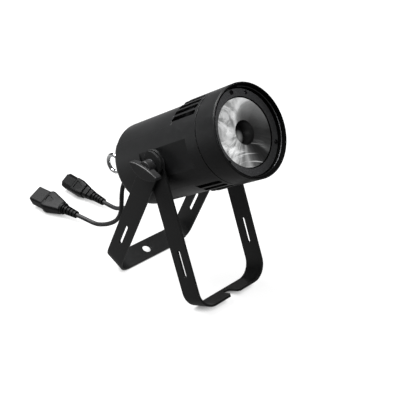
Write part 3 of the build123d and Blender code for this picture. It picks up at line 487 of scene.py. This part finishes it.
# ------------------------------------------------------------------ leads
# Centre lines from the head backwards: x, y, z from the pivot, in mm
LEAD_PATHS = {
    "in": [
        (14.0, 97.2, -64.18), (14.08, 102.81, -67.9), (14.31, 107.86, -72.35),
        (14.71, 112.3, -77.4), (15.26, 116.16, -82.89), (15.96, 119.51, -88.7),
        (16.8, 122.43, -94.71), (17.79, 125.02, -100.85), (18.92, 127.41, -107.05),
        (20.17, 129.74, -113.25), (21.54, 132.15, -119.4), (23.03, 134.79, -125.42),
        (24.61, 137.8, -131.23), (26.27, 141.31, -136.74), (27.97, 145.38, -141.83),
        (29.68, 149.96, -146.46), (31.39, 154.91, -150.71), (33.1, 160.12, -154.62),
        (34.8, 165.54, -158.25), (36.5, 171.1, -161.66), (38.19, 176.77, -164.89),
        (39.88, 182.51, -167.99), (41.58, 188.29, -171.02), (43.32, 194.04, -174.06),
        (45.03, 199.83, -177.06), (46.47, 205.96, -179.45), (47.49, 212.45, -180.89),
        (48.17, 219.12, -181.59), (48.63, 225.84, -181.83), (48.96, 232.57, -181.76),
        (49.2, 239.3, -181.5)],
    "out": [
        (-14.0, 97.2, -64.18), (-13.94, 102.9, -67.92), (-13.76, 108.04, -72.4),
        (-13.48, 112.52, -77.54), (-13.12, 116.28, -83.22), (-12.72, 119.31, -89.32),
        (-12.28, 121.63, -95.72), (-11.86, 123.3, -102.33), (-11.44, 124.52, -109.03),
        (-11.02, 125.52, -115.77), (-10.62, 126.56, -122.5), (-10.21, 127.87, -129.19),
        (-9.8, 129.71, -135.75), (-9.4, 132.34, -142.03), (-9.0, 135.9, -147.83),
        (-8.63, 140.29, -153.04), (-8.27, 145.25, -157.71), (-7.93, 150.61, -161.93),
        (-7.61, 156.26, -165.74), (-7.31, 162.12, -169.22), (-7.02, 168.16, -172.4),
        (-6.75, 174.34, -175.29), (-6.49, 180.64, -177.91), (-6.26, 187.07, -180.18),
        (-6.23, 193.73, -181.62), (-6.53, 200.53, -182.0), (-7.02, 207.34, -181.88),
        (-7.59, 214.14, -181.58), (-8.21, 220.93, -181.23), (-8.85, 227.71, -180.86),
        (-9.5, 234.5, -180.5)],
}
LEAD_RADIUS = 3.3 * MM
LEAD_SIDES = 28
PATH_STEPS = 6  # between two points of the path
STUB = 6 * MM  # start of the sheath inside the head


def smooth_path(points):
    """A Catmull-Rom curve through the points."""
    dense = []
    last = len(points) - 1
    for i in range(last):
        before, start, end = points[max(i - 1, 0)], points[i], points[i + 1]
        after = points[min(i + 2, last)]
        for k in range(PATH_STEPS):
            t = k / PATH_STEPS
            dense.append(0.5 * (
                2 * start + (end - before) * t
                + (2 * before - 5 * start + 4 * end - after) * t ** 2
                + (3 * start - before - 3 * end + after) * t ** 3))
    return dense + [points[-1]]


def tube(name, points, material):
    """A round, slightly uneven sheath along a path."""
    path = smooth_path(points)
    bm = bmesh.new()
    rings = []
    side = Vector((1, 0, 0))
    for i, centre in enumerate(path):
        along = (path[min(i + 1, len(path) - 1)] - path[max(i - 1, 0)]).normalized()
        side = (side - along * side.dot(along)).normalized()
        other = along.cross(side)
        wobble = 1.0 + 0.008 * math.sin(i * 0.37) + 0.006 * math.sin(i * 0.11 + 1.3)
        radius = LEAD_RADIUS * wobble
        ring = []
        for k in range(LEAD_SIDES):
            angle = 2 * math.pi * k / LEAD_SIDES
            offset = side * (radius * math.cos(angle)) + other * (radius * math.sin(angle))
            ring.append(bm.verts.new(centre + offset))
        rings.append(ring)
    for ring, following in zip(rings, rings[1:]):
        for k in range(LEAD_SIDES):
            j = (k + 1) % LEAD_SIDES
            bm.faces.new((ring[k], ring[j], following[j], following[k])).smooth = True
    bm.faces.new(rings[0][::-1])
    bm.faces.new(rings[-1])
    mesh = bpy.data.meshes.new(name)
    bm.to_mesh(mesh)
    bm.free()
    mesh.materials.append(material)
    return add_object(name, mesh)


for lead, path in LEAD_PATHS.items():
    cable = f"power_{lead}_cable"
    points = [PIVOT + Vector(point) * MM for point in path]
    sheath = tube(f"lead_{lead}_sheath", [points[0] + BEAM * STUB] + points, finish[cable])
    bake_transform(sheath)
    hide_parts(cable)


# ------------------------------------------------------------------ stage
def floor_material():
    """Near white to the camera, with a painted contact shadow; other rays see darker floors."""
    mat = Material("studio_floor")
    mottle = mat.remap(mat.noise(scale=3, detail=3), over=(0.3, 0.7))
    mat.surface({
        "Base Color": mat.mix(mottle, (0.15, 0.15, 0.15), (0.16, 0.16, 0.16)),
        "Roughness": 0.9,
        "Normal": mat.bump(mat.noise(scale=260, detail=3), strength=0.05, distance=0.0002),
        "Specular IOR Level": 0.1})
    # Painted contact shadow: ambient occlusion dims the floor's glow next to things
    contact_shadow = mat.node("AmbientOcclusion", {"Distance": 0.012}, samples=16).outputs["AO"]
    glow = mat.node("Emission", {
        "Strength": mat.remap(contact_shadow, over=(0.12, 0.62), to=(0.16, 0.93))})
    seen = mat.node("AddShader", {0: mat.bsdf.outputs[0], 1: glow.outputs[0]}).outputs[0]
    dim = mat.node("BsdfDiffuse", {"Color": (0.12, 0.12, 0.12)}).outputs[0]
    # Painted reflection: glossy rays see a floor glow, brighter towards +X +Y
    place = mat.node("NewGeometry").outputs["Position"]
    behind = mat.dot(place, (0.72, 0.69, 0.0))
    painted_reflection_glow = mat.node("Emission", {
        "Strength": mat.remap(behind, over=(-0.25, 0.25), to=(0.10, 0.62))}).outputs[0]
    rays = mat.node("LightPath").outputs
    unseen = mat.mix_shader(rays["Is Glossy Ray"], dim, painted_reflection_glow)
    mat.feed(mat.out, {0: mat.mix_shader(rays["Is Camera Ray"], unseen, seen)})
    return mat.material


def floor(half=7):
    mesh = bpy.data.meshes.new("studio_floor")
    corners = [(-half, -half), (half, -half), (half, half), (-half, half)]
    mesh.from_pydata([(x, y, FLOOR_Z) for x, y in corners], [], [(0, 1, 2, 3)])
    mesh.materials.append(floor_material())
    add_object("studio_floor", mesh)


def studio_world():
    """White to the camera, a faint fill to everything else."""
    world = bpy.data.worlds.new("studio")
    bpy.context.scene.world = world
    nodes = Nodes(world)
    fill, seen = (
        nodes.node("Background", {"Color": (1, 1, 1), "Strength": strength}).outputs[0]
        for strength in (0.055, 1.0))
    camera_ray = nodes.node("LightPath").outputs["Is Camera Ray"]
    nodes.node("OutputWorld", {0: nodes.mix_shader(camera_ray, fill, seen)})


# Softboxes aimed at the pivot: name, place, width, height, watts
SOFTBOXES = [
    ("key_softbox", (-1.3, 0.35, 1.35), 0.9, 1.1, 1.2),
    ("top_softbox", (-0.36, 0.66, 1.75), 1.5, 1.1, 86),
    ("front_softbox", (-0.25, -1.75, 1.45), 0.9, 0.9, 12),
]


def softbox(name, place, width, height, watts):
    light = bpy.data.lights.new(name, "AREA")
    light.energy = watts
    light.shape = "RECTANGLE"
    light.size = width
    light.size_y = height
    lamp = add_object(name, light)
    lamp.location = place
    lamp.rotation_mode = "QUATERNION"
    lamp.rotation_quaternion = (PIVOT - Vector(place)).to_track_quat("-Z", "Y")


floor()
studio_world()
for box in SOFTBOXES:
    softbox(*box)

# ----------------------------------------------------------------- camera
CAMERA_FROM_PIVOT = Vector((-0.7269, -0.6997, 0.4503))
AZIMUTH, ELEVATION, ROLL = (math.radians(a) for a in (-46.879, 27.409, 0.588))


def camera():
    data = bpy.data.cameras.new("camera")
    data.sensor_width = 36.0
    data.lens = 76.5
    data.clip_start = 0.01
    data.clip_end = 50
    level = Vector((math.cos(AZIMUTH), math.sin(AZIMUTH), 0))
    back = Vector((math.sin(AZIMUTH) * math.cos(ELEVATION),
                   -math.cos(AZIMUTH) * math.cos(ELEVATION), math.sin(ELEVATION)))
    upright = back.cross(level)
    right = level * math.cos(ROLL) + upright * math.sin(ROLL)
    up = upright * math.cos(ROLL) - level * math.sin(ROLL)
    turn = Matrix((right, up, back)).transposed().to_4x4()
    made = add_object("camera", data)
    made.matrix_world = Matrix.Translation(PIVOT + CAMERA_FROM_PIVOT) @ turn
    bpy.context.scene.camera = made


camera()
bpy.context.scene.view_settings.view_transform = "Standard"
